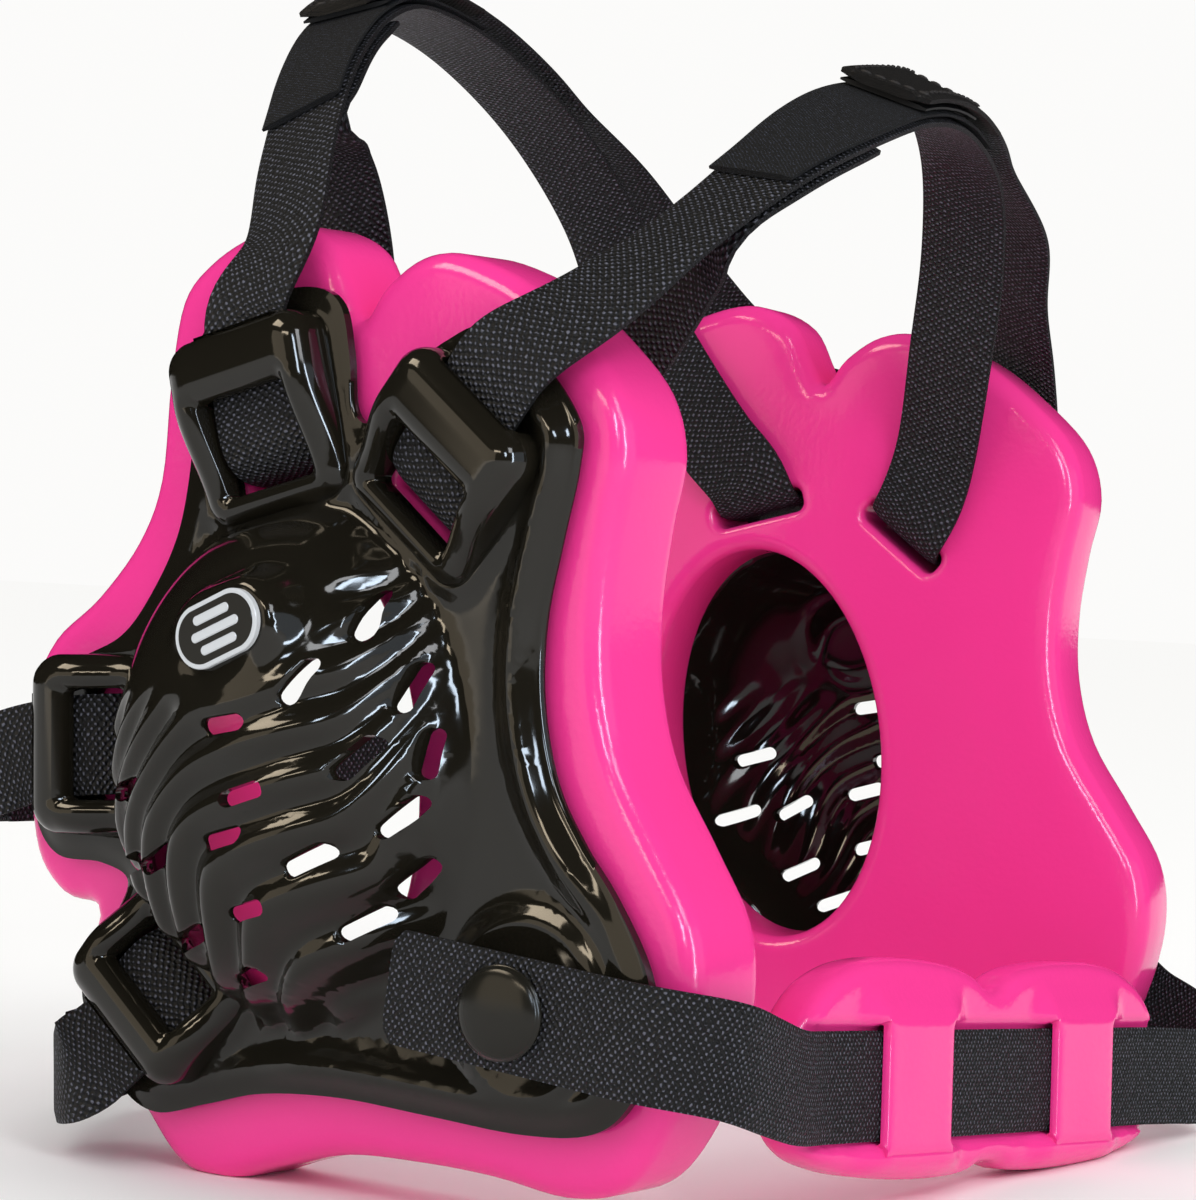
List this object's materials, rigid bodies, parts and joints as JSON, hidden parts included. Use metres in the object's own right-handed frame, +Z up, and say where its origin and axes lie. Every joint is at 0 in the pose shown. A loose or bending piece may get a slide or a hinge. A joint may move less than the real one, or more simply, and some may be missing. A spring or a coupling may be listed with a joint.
{
  "type": "wrestling headgear",
  "caption": "Wrestling headgear: two padded ear cups with vented hard shells, joined by strap arches over the crown and behind the head, with a padded chin strap on press studs.",
  "frame": {"origin": "on the table, under the middle of the bounding box", "axes": "+X towards the wearer's left, -Y towards the face side where the chin strap is, +Z up; the headgear stands leaning back 3 degrees on its chin pad and the back lobes of its ear pads"},
  "size_m": [0.2332, 0.1831, 0.2039],
  "materials": {
    "pad_foam": "gloss",
    "shell": "gloss",
    "badge": "gloss",
    "snap_metal": "satin",
    "snap_cap": "gloss",
    "webbing": "matte",
    "chin_webbing": "matte",
    "tab": "matte",
    "loop_tape": "matte",
    "hook_tape": "matte"
  },
  "bodies": {
    "headgear": {"right_ear_pad": "pad_foam", "left_ear_pad": "pad_foam", "right_ear_shell": "shell", "left_ear_shell": "shell", "right_badge": "badge", "left_badge": "badge", "right_snap_stud": "snap_metal", "left_snap_stud": "snap_metal", "right_snap_washer": "snap_metal", "left_snap_washer": "snap_metal", "front_strap": "webbing", "front_loop_tape": "loop_tape", "rear_strap": "webbing", "rear_loop_tape": "loop_tape", "upper_back_strap": "webbing", "upper_back_loop_tape": "loop_tape", "lower_back_strap": "webbing", "lower_back_loop_tape": "loop_tape"},
    "front_tab": {"front_strap_tab": "tab", "front_hook_tape": "hook_tape"},
    "rear_tab": {"rear_strap_tab": "tab", "rear_hook_tape": "hook_tape"},
    "upper_back_tab": {"upper_back_tab": "tab", "upper_back_hook_tape": "hook_tape"},
    "lower_back_tab": {"lower_back_tab": "tab", "lower_back_hook_tape": "hook_tape"},
    "chin_strap": {"chin_strap": "chin_webbing"},
    "right_chin_end": {"right_chin_end": "chin_webbing", "right_snap_socket": "snap_metal", "right_snap_cap": "snap_cap"},
    "left_chin_end": {"left_chin_end": "chin_webbing", "left_snap_socket": "snap_metal", "left_snap_cap": "snap_cap"},
    "chin_pad": {"chin_pad": "pad_foam"}
  },
  "joints": [
    {"name": "chin_strap_swing", "type": "hinge", "parent": "headgear", "child": "chin_strap", "pos_m": [0, -0.04919, 0.03445], "axis": [1, 0, 0], "range_deg": [-35, 35]},
    {"name": "chin_pad_slide", "type": "slide", "parent": "chin_strap", "child": "chin_pad", "axis": [0.9947, -0.0697, -0.075], "range_m": [-0.006, 0.006]},
    {"name": "right_snap_release", "type": "hinge", "parent": "chin_strap", "child": "right_chin_end", "pos_m": [-0.10486, -0.06933, 0.03233], "axis": [0, -0.1045, 0.9945], "range_deg": [0, 80]},
    {"name": "left_snap_release", "type": "hinge", "parent": "chin_strap", "child": "left_chin_end", "pos_m": [0.10486, -0.06577, 0.02284], "axis": [0, 0.5736, -0.8192], "range_deg": [0, 80]},
    {"name": "front_tab_peel", "type": "hinge", "parent": "headgear", "child": "front_tab", "pos_m": [0.01062, -0.06221, 0.18562], "axis": [-0.1528, 0.8761, 0.4572], "range_deg": [0, 70]},
    {"name": "rear_tab_peel", "type": "hinge", "parent": "headgear", "child": "rear_tab", "pos_m": [-0.00893, 0.0361, 0.20344], "axis": [-0.1807, 0.9823, -0.0501], "range_deg": [0, 70]},
    {"name": "upper_back_tab_peel", "type": "hinge", "parent": "headgear", "child": "upper_back_tab", "pos_m": [0.02854, 0.08967, 0.05821], "axis": [0.0189, -0.0551, -0.9983], "range_deg": [0, 70]},
    {"name": "lower_back_tab_peel", "type": "hinge", "parent": "headgear", "child": "lower_back_tab", "pos_m": [0.03477, 0.0712, 0.01212], "axis": [0.0171, -0.0558, -0.9983], "range_deg": [0, 70]}
  ]
}
